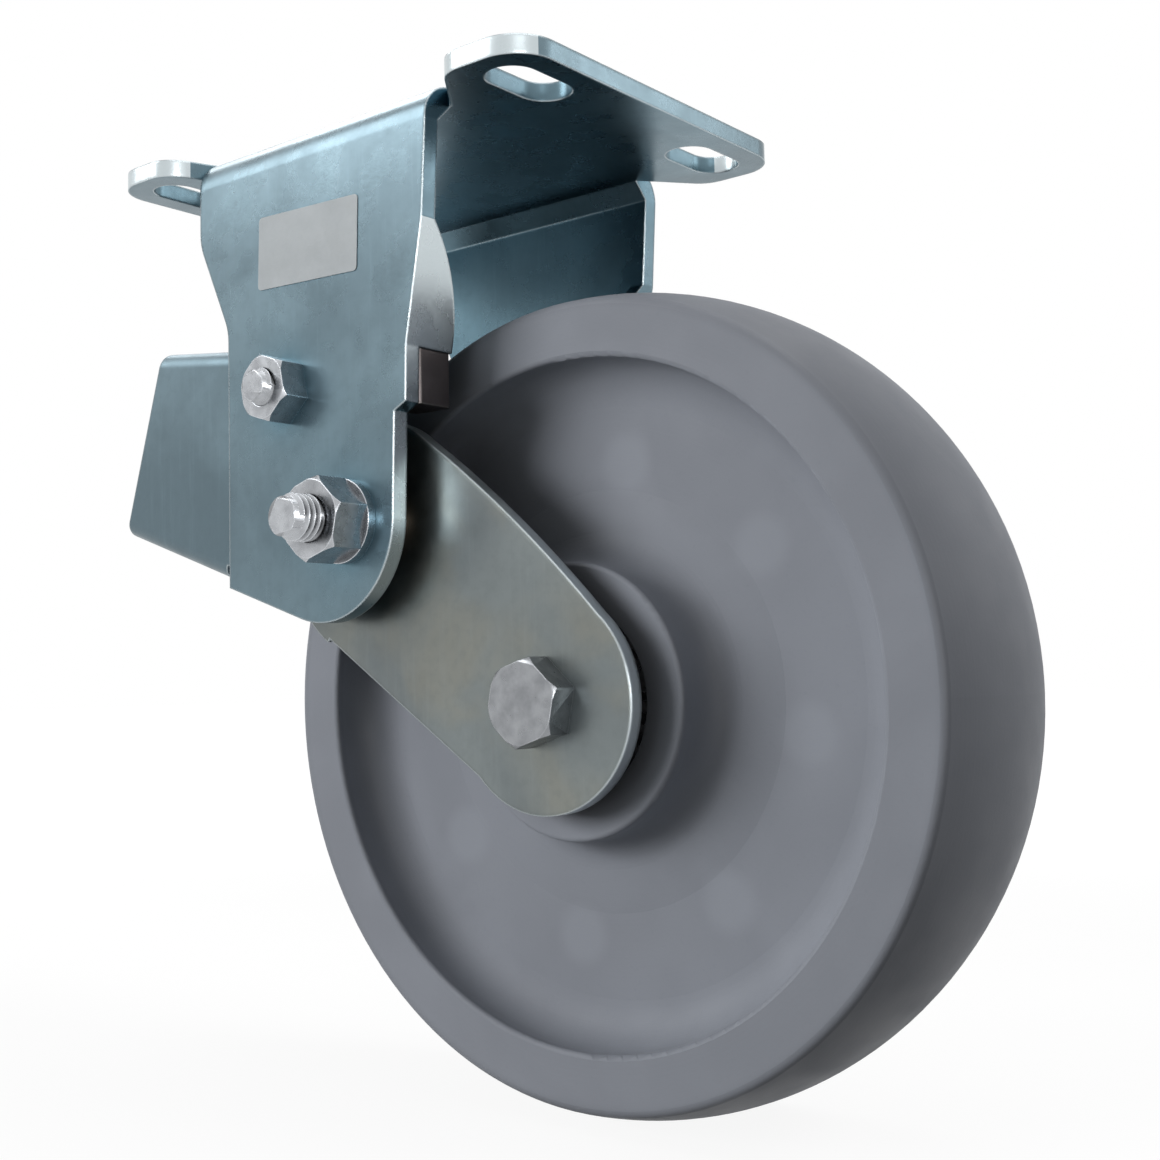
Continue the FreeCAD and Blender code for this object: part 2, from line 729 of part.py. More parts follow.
def make_tail_plate():
    """The cross plate between the arm plates that presses on the spring."""
    body = new_body("tail_plate")
    sketch = new_sketch(body, "XZ_Plane")
    outline(sketch, [
        ("tail_setback", "tail_under"),
        ("tail_front", "tail_under"),
        ("tail_front", "tail_top"),
        ("tail_setback", "tail_top"),
    ])
    pad(body, sketch, "2 * arm_inner", symmetric=True)
    round_edges(body, "edge_round", lambda e: runs_along(e, 1))
    place(body, "box_forward", "0", "box_drop", "box_tilt")
    SUBPARTS.append(body)


# Pivot


def make_pivot(tag, side):
    """A thin-headed pivot bolt from inside the arm, a flanged bush, a washer and a nut."""
    name = "Pivot" + tag
    head_start = "arm_inner - pivot_head"
    washer_end = "leg_outer + pivot_washer"
    nut_end = "leg_outer + pivot_washer + pivot_nut"
    bolt = union(name + "Bolt", [
        rod(name + "Head", "pivot_head_radius", head_start, "arm_inner - side_gap", side),
        rod(name + "Shank", "pivot_radius", "arm_inner - pivot_head / 2", nut_end + " + pivot_thread_out", side),
    ])
    finish(bolt, "pivot_bolt_" + tag, **AT_PIVOT)
    bush = minus(name + "Bush", union(name + "BushOuter", [
        rod(name + "BushSleeve", "bush_radius", "arm_inner", "arm_outer", side),
        rod(name + "BushFlange", "bush_flange_radius", "arm_outer", "leg_inner - side_gap", side),
    ]), rod(name + "BushBore", "(pivot_radius + running_gap)", "arm_inner - 1", "leg_inner + 1", side))
    finish(bush, "pivot_bush_" + tag, **AT_PIVOT)
    washer = rod(name + "Washer", "pivot_washer_radius", "leg_outer", washer_end, side,
                 hole="(pivot_radius + running_gap)")
    finish(washer, "pivot_washer_" + tag, **AT_PIVOT)
    nut = minus(name + "Nut", hexagon(name + "Nut", "nut_across_flats", washer_end, nut_end, side, -13),
                rod(name + "NutBore", "pivot_radius", "leg_outer", nut_end + " + 1", side))
    finish(nut, "pivot_nut_" + tag, **AT_PIVOT)


# Through bolt


def make_through_bolt():
    """The upper bolt through both legs and the box, with the sleeve that stops the tail."""
    washer_end = "leg_outer + through_washer"
    nut_end = "leg_outer + through_nut"
    bolt = union("ThroughBolt", [
        hexagon("ThroughHead", "through_across_flats", washer_end, washer_end + " + through_head", 1),
        rod("ThroughShank", "through_radius", "-(%s + through_thread_out)" % nut_end,
            washer_end + " + through_head / 2", 1),
    ])
    finish(bolt, "through_bolt", **AT_THROUGH)
    sleeve = rod("Sleeve", "sleeve_radius", "-box_outer + box_sheet", "box_outer - box_sheet", 1,
                 hole="(through_radius + running_gap)")
    finish(sleeve, "through_sleeve", **AT_THROUGH)
    washer = rod("ThroughWasher", "through_washer_radius", "leg_outer", washer_end, 1,
                 hole="(through_radius + running_gap)")
    finish(washer, "through_washer", **AT_THROUGH)
    nut = minus("ThroughNutCut", hexagon("ThroughNut", "through_across_flats", "leg_outer", nut_end, -1, 11),
                rod("ThroughNutBore", "through_radius", "leg_inner", nut_end + " + 1", -1))
    finish(nut, "through_nut", **AT_THROUGH)


# Axle


def make_axle():
    """Axle bolt, tube, spacers, washer and nut, all clamped between the arm plates."""
    washer_end = "arm_outer + axle_washer"
    nut_end = "arm_outer + axle_washer + axle_nut"
    bolt = union("AxleBolt", [
        hexagon("AxleHead", "nut_across_flats", "arm_outer", "arm_outer + axle_head", -1, -12),
        rod("AxleShank", "axle_radius", "-(%s + axle_thread_out)" % nut_end, "arm_outer + axle_head / 2", -1),
    ])
    finish(bolt, "axle_bolt", **AT_AXLE)
    washer = rod("AxleWasher", "axle_washer_radius", "arm_outer", washer_end, 1,
                 hole="(axle_radius + running_gap)")
    finish(washer, "axle_washer", **AT_AXLE)
    nut = minus("AxleNutCut", hexagon("AxleNut", "nut_across_flats", washer_end, nut_end, 1),
                rod("AxleNutBore", "axle_radius", "arm_outer", nut_end + " + 1", 1))
    finish(nut, "axle_nut", **AT_AXLE)
    tube = rod("AxleTube", "tube_radius", "-arm_inner", "arm_inner", 1, hole="(axle_radius + running_gap)")
    finish(tube, "axle_tube", **AT_AXLE)
    middle = rod("BearingSpacer", "spacer_radius", "-bearing_inset", "bearing_inset", 1,
                 hole="tube_radius")
    finish(middle, "bearing_spacer", **AT_AXLE)


def make_bearing(tag, side):
    """A ball bearing with its end spacer: two grooved rings, caged balls and a seal."""
    name = "Bearing" + tag
    inside = "bearing_inset"
    outside = "(bearing_inset + bearing_width)"
    spacer = rod(name + "Spacer", "spacer_radius", outside, "arm_inner", side, hole="tube_radius")
    finish(spacer, "end_spacer_" + tag, **AT_AXLE)
    race = minus(name + "Inner", rod(name + "InnerBlank", "inner_ring_radius", inside, outside, side,
                                     hole="tube_radius"), ball_groove(name + "Inner", side))
    finish(race, "inner_ring_" + tag, **AT_AXLE)
    race = minus(name + "Outer", rod(name + "OuterBlank", "bearing_radius", inside, outside, side,
                                     hole="outer_ring_inner"), ball_groove(name + "Outer", side))
    finish(race, "outer_ring_" + tag, **AT_AXLE)
    finish(ball_set(name, side), "ball_set_" + tag, **AT_AXLE)
    finish(ball_cage(name, side), "ball_cage_" + tag, **AT_AXLE)
    seal = rod(name + "Seal", "outer_ring_inner", "%s - seal_inset - seal_sheet" % outside, "%s - seal_inset" % outside,
               side, hole="(inner_ring_radius + side_gap)")
    finish(seal, "seal_" + tag, **AT_AXLE)


PITCH = "((inner_ring_radius + outer_ring_inner) / 2)"
BEARING_MIDDLE = "(bearing_inset + bearing_width / 2)"


def ball_groove(name, side):
    """The ring-shaped track in which the balls roll."""
    ring = doc.addObject("Part::Torus", name + "Groove")
    tie(ring, Radius1=PITCH, Radius2="ball_radius + running_gap")
    turn(ring, BEARING_MIDDLE, side)
    return ring


def ball_angle(i):
    return "%d * 360 deg / ball_count" % i


def ball_set(name, side):
    """The loose balls of one bearing, as separate solids."""
    balls = []
    for i in range(int(size("ball_count"))):
        ball = doc.addObject("Part::Sphere", "%sBall%d" % (name, i + 1))
        ball.Placement = FreeCAD.Placement(FreeCAD.Vector(), FreeCAD.Rotation(FreeCAD.Vector(1, 0, 0), 90))
        tie(ball, Radius="ball_radius", Placement__Base__x="%s * cos(%s)" % (PITCH, ball_angle(i)),
            Placement__Base__y="%d * %s" % (side, BEARING_MIDDLE),
            Placement__Base__z="%s * sin(%s)" % (PITCH, ball_angle(i)))
        balls.append(ball)
    group = doc.addObject("Part::Compound", name + "Balls")
    group.Links = balls
    return group


def ball_cage(name, side):
    """A ring with one round window for each ball."""
    ring = rod(name + "CageRing", PITCH + " + cage_half", BEARING_MIDDLE + " - cage_width / 2",
               BEARING_MIDDLE + " + cage_width / 2", side, hole=PITCH + " - cage_half")
    windows = []
    for i in range(int(size("ball_count"))):
        window = doc.addObject("Part::Cylinder", "%sWindow%d" % (name, i + 1))
        window.Placement = FreeCAD.Placement(FreeCAD.Vector(), FreeCAD.Rotation(FreeCAD.Vector(0, 1, 0), 1))
        tie(window, Radius="ball_radius + running_gap", Height="outer_ring_inner",
            Placement__Base__y="%d * %s" % (side, BEARING_MIDDLE),
            Placement__Rotation__Angle="90 deg - %s" % ball_angle(i))
        windows.append(window)
    return minus(name + "Cage", ring, union(name + "Windows", windows))


# Wheel


def make_wheel():
    """One solid wheel: crowned tread, flat rim faces, dished webs and a stout hub."""
    body = new_body("wheel")
    sketch = new_sketch(body, "XY_Plane")
    edge = "(wheel_radius - tread_crown)"
    crown = "((wheel_half * wheel_half + tread_crown * tread_crown) / (2 * tread_crown))"
    half = [
        ("seat_step_radius", "bearing_inset"),
        ("bearing_radius", "bearing_inset"),
        ("bearing_radius", "hub_half"),
        ("hub_radius", "hub_half"),
        ("hub_radius", "web_half + hub_cone_rise"),
        ("hub_cone_radius", "web_half"),
        ("rim_inner_radius", "web_half"),
        ("rim_inner_radius", "wheel_half"),
        (edge, "wheel_half"),
    ]
    lower = [(x, "-(%s)" % y) for x, y in half]
    lower[-1] = lower[-1] + (crown,)
    outline(sketch, lower + half[::-1])
    revolve(body, sketch)
    place(body, "axle_forward", "0", "axle_drop")
    doc.recompute()
    wheel_rounds(body)
    SUBPARTS.append(body)


def wheel_rounds(body):
    """Blend the webs into hub and rim, and ease the outer edges."""
    def ring(radius, half):
        def test(edge):
            if edge.Curve.TypeId != "Part::GeomCircle":
                return False
            return near(edge.Curve.Radius, radius) and near(abs(edge.Curve.Center.y), half)
        return test
    round_edges(body, "rim_fillet", ring("rim_inner_radius", "web_half"))
    round_edges(body, "hub_fillet", ring("hub_radius", "web_half + hub_cone_rise"))
    round_edges(body, "hub_edge_round", ring("hub_radius", "hub_half"))
    round_edges(body, "tread_edge_round", ring("(wheel_radius - tread_crown)", "wheel_half"))
    round_edges(body, "hub_edge_round", ring("rim_inner_radius", "wheel_half"))


# Assembly


def check():
    """Stop if any object failed or any sub-part has no sound shape."""
    for item in doc.Objects:
        if "Invalid" in item.State or "Error" in item.State:
            raise RuntimeError("%s (%s) failed" % (item.Name, item.Label))
    for part in SUBPARTS:
        if part.Shape.isNull() or not part.Shape.isValid() or not part.Shape.Solids:
            raise RuntimeError("%s has no sound shape" % part.Label)


def export():
    os.makedirs("parts", exist_ok=True)
    for part in SUBPARTS:
        part.Shape.exportStep("parts/%s.step" % part.Label)


make_housing()
make_spring_box()
make_spring()
make_tail_plate()
make_through_bolt()
make_axle()
make_wheel()
for tag, side in SIDES:
    make_guide_block(tag, side)
    make_arm_plate(tag, side)
    make_pivot(tag, side)
    make_bearing(tag, side)
doc.recompute()
check()
export()
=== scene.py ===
"""Looks of the sprung fixed castor: plated finishes, moulded wheel, threads, label and studio."""

import math

import bpy
from mathutils import Matrix, Vector


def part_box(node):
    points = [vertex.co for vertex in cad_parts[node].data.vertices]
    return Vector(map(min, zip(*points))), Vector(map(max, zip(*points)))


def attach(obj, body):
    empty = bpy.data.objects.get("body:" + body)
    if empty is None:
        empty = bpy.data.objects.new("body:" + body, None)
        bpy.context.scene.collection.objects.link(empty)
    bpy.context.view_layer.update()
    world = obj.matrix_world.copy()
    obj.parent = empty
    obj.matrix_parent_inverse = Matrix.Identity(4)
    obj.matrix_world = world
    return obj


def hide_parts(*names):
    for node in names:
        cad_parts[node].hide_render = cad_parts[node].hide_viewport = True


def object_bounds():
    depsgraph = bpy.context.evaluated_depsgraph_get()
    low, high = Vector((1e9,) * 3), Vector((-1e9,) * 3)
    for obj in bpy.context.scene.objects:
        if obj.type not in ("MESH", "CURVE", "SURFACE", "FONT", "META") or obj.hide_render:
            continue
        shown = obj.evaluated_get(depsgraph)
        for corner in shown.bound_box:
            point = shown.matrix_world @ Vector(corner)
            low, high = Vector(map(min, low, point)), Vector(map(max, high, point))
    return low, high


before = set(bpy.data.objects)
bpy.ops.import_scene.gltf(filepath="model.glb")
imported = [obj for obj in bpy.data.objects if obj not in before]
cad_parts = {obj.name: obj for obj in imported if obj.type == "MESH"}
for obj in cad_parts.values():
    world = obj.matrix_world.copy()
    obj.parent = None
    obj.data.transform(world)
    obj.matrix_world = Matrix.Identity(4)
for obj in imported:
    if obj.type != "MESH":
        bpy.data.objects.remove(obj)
CAD_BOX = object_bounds()

bl_info = {
    "name": "Spring-loaded fixed castor",
    "version": (1, 0, 0),
    "blender": (4, 5, 0),
    "location": "3D View > Sidebar > Castor",
    "description": "Finishes, threads, label and studio for a spring-loaded fixed castor",
    "category": "Object",
}

# Lengths are in metres, in the solid model's own frame.

# Round marks on the web: how many, the first one's turn, their ring's radius and their own
GATE_COUNT = 8
GATE_TURN = math.radians(-30.5)
GATE_RING = 0.0585
GATE_RADIUS = 0.0095

# Radii at which the tread's darker tone, partly wear and partly painted shade, starts and is full
TREAD_START = 0.0940
TREAD_FULL = 0.0985

# Limits of the housing's painted highlights on edges: the near leg's side and top, the plate's
# underside, the ears
LEG_SIDE = -0.0300
LEG_TOP = -0.0340
PLATE_UNDERSIDE = -0.0052
EARS_FROM = 0.0485

# Proportions of a thread, as shares of its pitch
TOOTH_DEPTH = 0.61
TOOTH_HALF_WIDTH = 0.44
RUN_IN = 0.4
RUN_OUT = 0.3
STEPS_IN_A_TURN = 32

# Inside the nut's face: two cuts round the bolt, and the depth down to which it is turned thinner
CUTS = (0.0006, 0.0003)
TURNED_TO = 0.0004
SMOOTH_BELOW = math.radians(16.0)

# The label's centre along and up the leg, its slope and its rounded corners
LABEL_ALONG = -0.0031
LABEL_UP = -0.0329
LABEL_SLOPE = math.radians(2.0)
LABEL_CORNER = 0.0012

# The floor's size, and how its glow rises with the distance from the origin
FLOOR_SIZE = 14.0
GLOW_FROM, GLOW_TO = 0.30, 1.10
GLOW_LOW, GLOW_HIGH = 0.91, 1.0

# The point that the lamps look at, and the camera's place and directions
LAMPS_AIM = (0.03, 0.0, -0.12)
CAMERA_PLACE = (0.2998, -0.3134, -0.1478)
CAMERA_LOOK = (-0.6255, 0.7776, 0.0636)
CAMERA_UP = (0.0558, -0.0368, 0.9978)

# Range of a noise over which clouds go from one tone to the other
CLOUD_LOW = 0.30
CLOUD_HIGH = 0.70

# Sockets of a Mix node that mixes colours: its share and two colours, and its result
MIX_INPUTS = (0, 6, 7)
MIX_RESULT = 2


def linear(red, green, blue):
    """A colour as on a screen, 0 to 255 a channel, turned into linear light by the sRGB curve."""
    channels = []
    for value in (red, green, blue):
        share = value / 255
        if share <= 0.04045:
            channels.append(share / 12.92)
        else:
            channels.append(((share + 0.055) / 1.055) ** 2.4)
    return tuple(channels)


def colour_property(name, description, screen):
    """A colour that the user may change, with its default given as on a screen."""
    return bpy.props.FloatVectorProperty(
        name=name,
        description=description,
        subtype="COLOR",
        size=3,
        min=0.0,
        max=1.0,
        default=linear(*screen),
    )


def length_property(name, description, default):
    """A length in metres that the user may change."""
    return bpy.props.FloatProperty(
        name=name,
        description=description,
        subtype="DISTANCE",
        unit="LENGTH",
        min=0.0,
        default=default,
    )


class CastorColours(bpy.types.PropertyGroup):
    """Colours of the castor's finishes."""

    zinc_pale: colour_property("Zinc, pale", "Bright tone of the pressed housing", (116, 136, 145))
    zinc_deep: colour_property("Zinc, deep", "Deep tone of the pressed housing", (96, 113, 121))
    # Tone of the painted highlight on cut and other edges.
    zinc_highlight: colour_property("Zinc, cut edges", "Tone of cut and rubbed edges", (200, 209, 212))
    arm_pale: colour_property("Arm zinc, pale", "Bright tone of the arm plates", (126, 133, 133))
    arm_deep: colour_property("Arm zinc, deep", "Deep tone of the arm plates", (106, 113, 115))
    arm_warm: colour_property("Arm zinc, warm", "Warm stains on the arm plates", (132, 130, 118))
    fastener_pale: colour_property("Fasteners, pale", "Bright tone of fasteners", (186, 189, 193))
    fastener_deep: colour_property("Fasteners, deep", "Deep tone of fasteners", (158, 161, 165))
    wheel: colour_property("Wheel", "Grey of the moulded wheel", (136, 140, 148))
    label: colour_property("Label", "Tone of the blank label", (165, 171, 174))


class CastorSizes(bpy.types.PropertyGroup):
    """Sizes of what is added to the solid model."""

    label_width: length_property("Label width", "Width of the blank label", 0.0385)
    label_height: length_property("Label height", "Height of the blank label", 0.0197)
    label_thickness: length_property("Label thickness", "Thickness of the blank label", 0.0002)
    pitch_large: length_property("Pitch, M12", "Pitch of the pivot and axle threads", 0.00175)
    pitch_small: length_property("Pitch, M10", "Pitch of the through bolt's thread", 0.0015)


class CastorStage(bpy.types.PropertyGroup):
    """Lamps, room light and camera."""

    lens: bpy.props.FloatProperty(
        name="Lens",
        description="Focal length of the camera",
        subtype="DISTANCE_CAMERA",
        unit="CAMERA",
        default=47.82,
    )
    key_power: bpy.props.FloatProperty(
        name="Key lamp",
        description="Power of the large soft lamp on the left",
        unit="POWER",
        default=35.5,
    )
    top_power: bpy.props.FloatProperty(
        name="Top lamp",
        description="Power of the lamp overhead",
        unit="POWER",
        default=8.0,
    )
    back_power: bpy.props.FloatProperty(
        name="Back lamp",
        description="Power of the lamp high up on the right",
        unit="POWER",
        default=11.0,
    )
    lip_power: bpy.props.FloatProperty(
        name="Lip lamp",
        description="Power of the panel far out on the right that shines along the front edges",
        unit="POWER",
        default=1.4,
    )
    edge_power: bpy.props.FloatProperty(
        name="Edge lamp",
        description="Power of the panel behind the camera that shines along rounded edges",
        unit="POWER",
        default=9.5,
    )
    bend_power: bpy.props.FloatProperty(
        name="Bend lamp",
        description="Power of the panel that shines along the bends",
        unit="POWER",
        default=5.0,
    )
    sheen_power: bpy.props.FloatProperty(
        name="Sheen lamp",
        description="Power of the panel on the left that shows only in reflections",
        unit="POWER",
        default=8.5,
    )
    room_level: bpy.props.FloatProperty(
        name="Room level",
        description="Strength of the even light from the room",
        min=0.0,
        default=0.19,
    )


# Materials


class Finish:
    """One procedural material and the few kinds of node that these finishes are made of."""

    def __init__(self, name):
        self.material = bpy.data.materials.new(name)
        self.material.use_nodes = True
        self.tree = self.material.node_tree
        self.shader = self.tree.nodes["Principled BSDF"]
        self.coordinates = self.node("ShaderNodeTexCoord")
        self.place = self.coordinates.outputs["Object"]

    def node(self, kind, **settings):
        """A new node with some of its settings."""
        made = self.tree.nodes.new(kind)
        for key, value in settings.items():
            setattr(made, key, value)
        return made

    def link(self, source, target):
        """Joins an output to an input."""
        self.tree.links.new(source, target)

    def fill(self, socket, item):
        """Links a socket to an output, or sets it to a number or a colour."""
        if isinstance(item, bpy.types.NodeSocket):
            self.link(item, socket)
        elif isinstance(item, (int, float)):
            socket.default_value = item
        else:
            socket.default_value = (item[0], item[1], item[2], 1.0)

    def mapped(self, scale=(1.0, 1.0, 1.0), move=(0.0, 0.0, 0.0)):
        """Object coordinates moved, and with a scale along each axis."""
        mapping = self.node("ShaderNodeMapping")
        mapping.inputs["Scale"].default_value = scale
        mapping.inputs["Location"].default_value = move
        self.link(self.place, mapping.inputs["Vector"])
        return mapping.outputs["Vector"]

    def parts(self, vector):
        """The three numbers of a vector."""
        split = self.node("ShaderNodeSeparateXYZ")
        self.link(vector, split.inputs["Vector"])
        return [split.outputs[axis] for axis in "XYZ"]

    def noise(self, scale, detail=4.0, rough=0.5, place=None, warp=0.0):
        """Cloudy noise, as a value round 0.5."""
        made = self.node("ShaderNodeTexNoise")
        made.inputs["Scale"].default_value = scale
        made.inputs["Detail"].default_value = detail
        made.inputs["Roughness"].default_value = rough
        made.inputs["Distortion"].default_value = warp
        self.link(place or self.place, made.inputs["Vector"])
        return made.outputs["Fac"]

    def spread(self, value, low, high, to_low=0.0, to_high=1.0):
        """A value mapped smoothly from one range to another."""
        made = self.node("ShaderNodeMapRange", interpolation_type="SMOOTHSTEP")
        made.inputs["From Min"].default_value = low
        made.inputs["From Max"].default_value = high
        made.inputs["To Min"].default_value = to_low
        made.inputs["To Max"].default_value = to_high
        self.link(value, made.inputs["Value"])
        return made.outputs["Result"]

    def clouds(self, scale, to_low=0.0, to_high=1.0, **settings):
        """Cloudy noise spread smoothly between two values."""
        return self.spread(self.noise(scale, **settings), CLOUD_LOW, CLOUD_HIGH, to_low, to_high)

    def maths(self, operation, first, second=None):
        """One sum on values or numbers."""
        made = self.node("ShaderNodeMath", operation=operation)
        for index, item in enumerate((first, second)):
            if item is not None:
                self.fill(made.inputs[index], item)
        return made.outputs["Value"]

    def length(self, first, second):
        """The length of a step with two parts at right angles."""
        squares = [self.maths("POWER", item, 2.0) for item in (first, second)]
        return self.maths("SQRT", self.maths("ADD", *squares))

    def blend(self, share, first, second, mode="MIX"):
        """Two colours mixed by a share."""
        made = self.node("ShaderNodeMix", data_type="RGBA", blend_type=mode)
        inputs = [made.inputs[index] for index in MIX_INPUTS]
        for socket, item in zip(inputs, (share, first, second)):
            self.fill(socket, item)
        return made.outputs[MIX_RESULT]

    def dimmed(self, colour, share):
        """A colour multiplied by a value."""
        grey = self.node("ShaderNodeCombineColor")
        for channel in ("Red", "Green", "Blue"):
            self.link(share, grey.inputs[channel])
        return self.blend(1.0, colour, grey.outputs["Color"], "MULTIPLY")

    def bump(self, height, distance, below=None):
        """A bump from a height, on top of an earlier normal."""
        made = self.node("ShaderNodeBump")
        made.inputs["Strength"].default_value = 1.0
        made.inputs["Distance"].default_value = distance
        self.link(height, made.inputs["Height"])
        if below is not None:
            self.link(below, made.inputs["Normal"])
        return made.outputs["Normal"]

    def rounded(self, radius):
        """The normal with every edge eased by a small radius."""
        made = self.node("ShaderNodeBevel", samples=6)
        made.inputs["Radius"].default_value = radius
        return made.outputs["Normal"]

    def highlit(self, radius):
        """1 along the edges, where a highlight is painted, and 0 on the faces."""
        cosine = self.node("ShaderNodeVectorMath", operation="DOT_PRODUCT")
        self.link(self.rounded(radius), cosine.inputs[0])
        self.link(self.node("ShaderNodeNewGeometry").outputs["Normal"], cosine.inputs[1])
        return self.spread(cosine.outputs["Value"], 0.80, 0.99, 1.0, 0.0)

    def crease(self, reach):
        """1 in the open and less in corners and hollows, within a reach; the finishes use it for
        painted shade.
        """
        made = self.node("ShaderNodeAmbientOcclusion", samples=8)
        made.inputs["Distance"].default_value = reach
        return made.outputs["AO"]

    def put(self, **sockets):
        """Sets sockets of the shader, by a value or by a link."""
        names = {
            "colour": "Base Color",
            "metal": "Metallic",
            "rough": "Roughness",
            "normal": "Normal",
            "specular": "Specular IOR Level",
        }
        for key, item in sockets.items():
            self.fill(self.shader.inputs[names[key]], item)
        return self.material


def darker(colour, share):
    """A colour at a share of its level."""
    return tuple(channel * share for channel in colour[:3])


def near_side_highlight(zinc):
    """1 on the near leg's lips and cut edges and on the ears' edges, where a highlight is painted.
    """
    normal = zinc.parts(zinc.coordinates.outputs["Normal"])
    across, up = [zinc.maths("ABSOLUTE", part) for part in normal[1:]]
    place_across, place_up = zinc.parts(zinc.place)[1:]
    # Only the near leg's lips and edges get the painted highlight.
    near = zinc.maths("LESS_THAN", place_across, LEG_SIDE)
    low = zinc.maths("LESS_THAN", place_up, LEG_TOP)
    not_sideways = zinc.spread(across, 0.35, 0.75, 1.0, 0.0)
    not_level = zinc.spread(up, 0.70, 0.90, 1.0, 0.0)
    on_legs = zinc.maths("MULTIPLY", not_sideways, not_level)
    on_legs = zinc.maths("MULTIPLY", on_legs, zinc.maths("MULTIPLY", near, low))
    in_plate = zinc.maths("GREATER_THAN", place_up, PLATE_UNDERSIDE)
    on_ears = zinc.maths("GREATER_THAN", zinc.maths("ABSOLUTE", place_across), EARS_FROM)
    standing = zinc.spread(up, 0.30, 0.60, 1.0, 0.0)
    ear_edges = zinc.maths("MULTIPLY", standing, zinc.maths("MULTIPLY", in_plate, on_ears))
    return zinc.maths("MAXIMUM", on_legs, ear_edges)


def flat_edge_highlight(zinc):
    """1 on the cut edges of a plate that lies across the axle, where a highlight is painted."""
    across = zinc.maths("ABSOLUTE", zinc.parts(zinc.coordinates.outputs["Normal"])[1])
    return zinc.spread(across, 0.35, 0.75, 1.0, 0.0)


def plated(name, pale, deep, bright, rough, hollow_shade, edge_highlight_mask=None, warm=None, edge=0.0010):
    """Zinc on sheet steel: clouds, painted shade in hollows, painted highlights along cut and other
    edges, fine scuffs.
    """
    zinc = Finish(name)
    colour = zinc.blend(zinc.clouds(19.0, warp=0.4), deep, pale)
    if warm is not None:
        patches = zinc.spread(zinc.noise(33.0, detail=3.0, warp=0.5), 0.42, 0.72, 0.0, 0.5)
        colour = zinc.blend(patches, colour, warm)
    grain = zinc.noise(300.0, detail=5.0, rough=0.62)
    colour = zinc.blend(zinc.spread(grain, 0.40, 0.75, 0.0, 0.20), colour, darker(deep, 0.78))
    drawn = zinc.noise(1.0, rough=0.6, place=zinc.mapped((520.0, 520.0, 34.0)))
    colour = zinc.blend(zinc.spread(drawn, 0.50, 0.80, 0.0, 0.16), colour, darker(pale, 1.25))
    # Painted shade: the colour is darkened, with a tint, in corners and hollows.
    shade = zinc.blend(zinc.crease(0.06), hollow_shade, (1.0, 1.0, 1.0))
    colour = zinc.blend(1.0, colour, shade, "MULTIPLY")
    # Painted highlight along the edges and, where a mask is given, on the cut edges.
    highlight_share = zinc.maths("MULTIPLY", zinc.highlit(0.0009), 0.85)
    if edge_highlight_mask is not None:
        highlight_share = zinc.maths("MAXIMUM", highlight_share, zinc.maths("MULTIPLY", edge_highlight_mask(zinc), 0.92))
    colour = zinc.blend(highlight_share, colour, bright)
    polish = zinc.clouds(80.0, rough - 0.04, rough + 0.06, rough=0.6)
    normal = zinc.bump(zinc.noise(650.0, rough=0.6), 0.00002, zinc.rounded(edge))
    return zinc.put(colour=colour, metal=1.0, rough=polish, normal=normal)


def turned(name, pale, deep, rough):
    """Zinc on bolts, nuts and washers: uneven, with painted shade in the corners and painted
    highlights along the edges.
    """
    zinc = Finish(name)
    mottle = zinc.spread(zinc.noise(230.0, rough=0.55), 0.25, 0.75)
    colour = zinc.blend(mottle, deep, pale)
    # Painted shade in the corners.
    colour = zinc.dimmed(colour, zinc.spread(zinc.crease(0.010), 0.15, 0.95, 0.16, 1.0))
    # Painted highlight along the edges.
    colour = zinc.blend(zinc.maths("MULTIPLY", zinc.highlit(0.0006), 0.8), colour, darker(pale, 1.7))
    polish = zinc.clouds(300.0, rough - 0.06, rough + 0.08, rough=0.6)
    normal = zinc.bump(zinc.noise(600.0, rough=0.6), 0.00004, zinc.rounded(0.0004))
    return zinc.put(colour=colour, metal=1.0, rough=polish, normal=normal)


def moulded(name, tone, axle):
    """Grey moulded polyamide: faint flow, round gate marks on the web, fine rings on the tread."""
    nylon = Finish(name)
    along, across, up = nylon.parts(nylon.mapped(move=(-axle[0], 0.0, -axle[2])))
    radius = nylon.length(along, up)
    flow = nylon.clouds(24.0, detail=3.0, warp=0.6)
    colour = nylon.blend(flow, darker(tone, 0.95), darker(tone, 1.05))
    speckle = nylon.spread(nylon.noise(900.0, detail=3.0, rough=0.6), 0.55, 0.80, 0.0, 0.18)
    colour = nylon.blend(speckle, colour, darker(tone, 0.80))
    gates = nylon.maths("MULTIPLY", gate_marks(nylon, along, up, radius), 0.5)
    colour = nylon.blend(gates, colour, darker(tone, 1.22))
    # Painted shade in the recesses and corners of the wheel.
    colour = nylon.dimmed(colour, nylon.spread(nylon.crease(0.012), 0.25, 0.95, 0.55, 1.0))
    # The tread is darker: partly wear from rolling, partly painted shade.
    on_tread = nylon.spread(radius, TREAD_START, TREAD_FULL)
    colour = nylon.blend(nylon.maths("MULTIPLY", on_tread, 0.8), colour, darker(tone, 0.70))
    polish = nylon.clouds(70.0, 0.50, 0.60, rough=0.6)
    rings = nylon.node("ShaderNodeCombineXYZ")
    nylon.link(radius, rings.inputs["X"])
    nylon.link(across, rings.inputs["Y"])
    turning = nylon.noise(1500.0, detail=2.0, place=rings.outputs["Vector"])
    skin = nylon.bump(nylon.noise(1000.0, rough=0.6), 0.00003)
    normal = nylon.bump(turning, 0.00002, skin)
    return nylon.put(colour=colour, metal=0.0, rough=polish, normal=normal, specular=0.25)


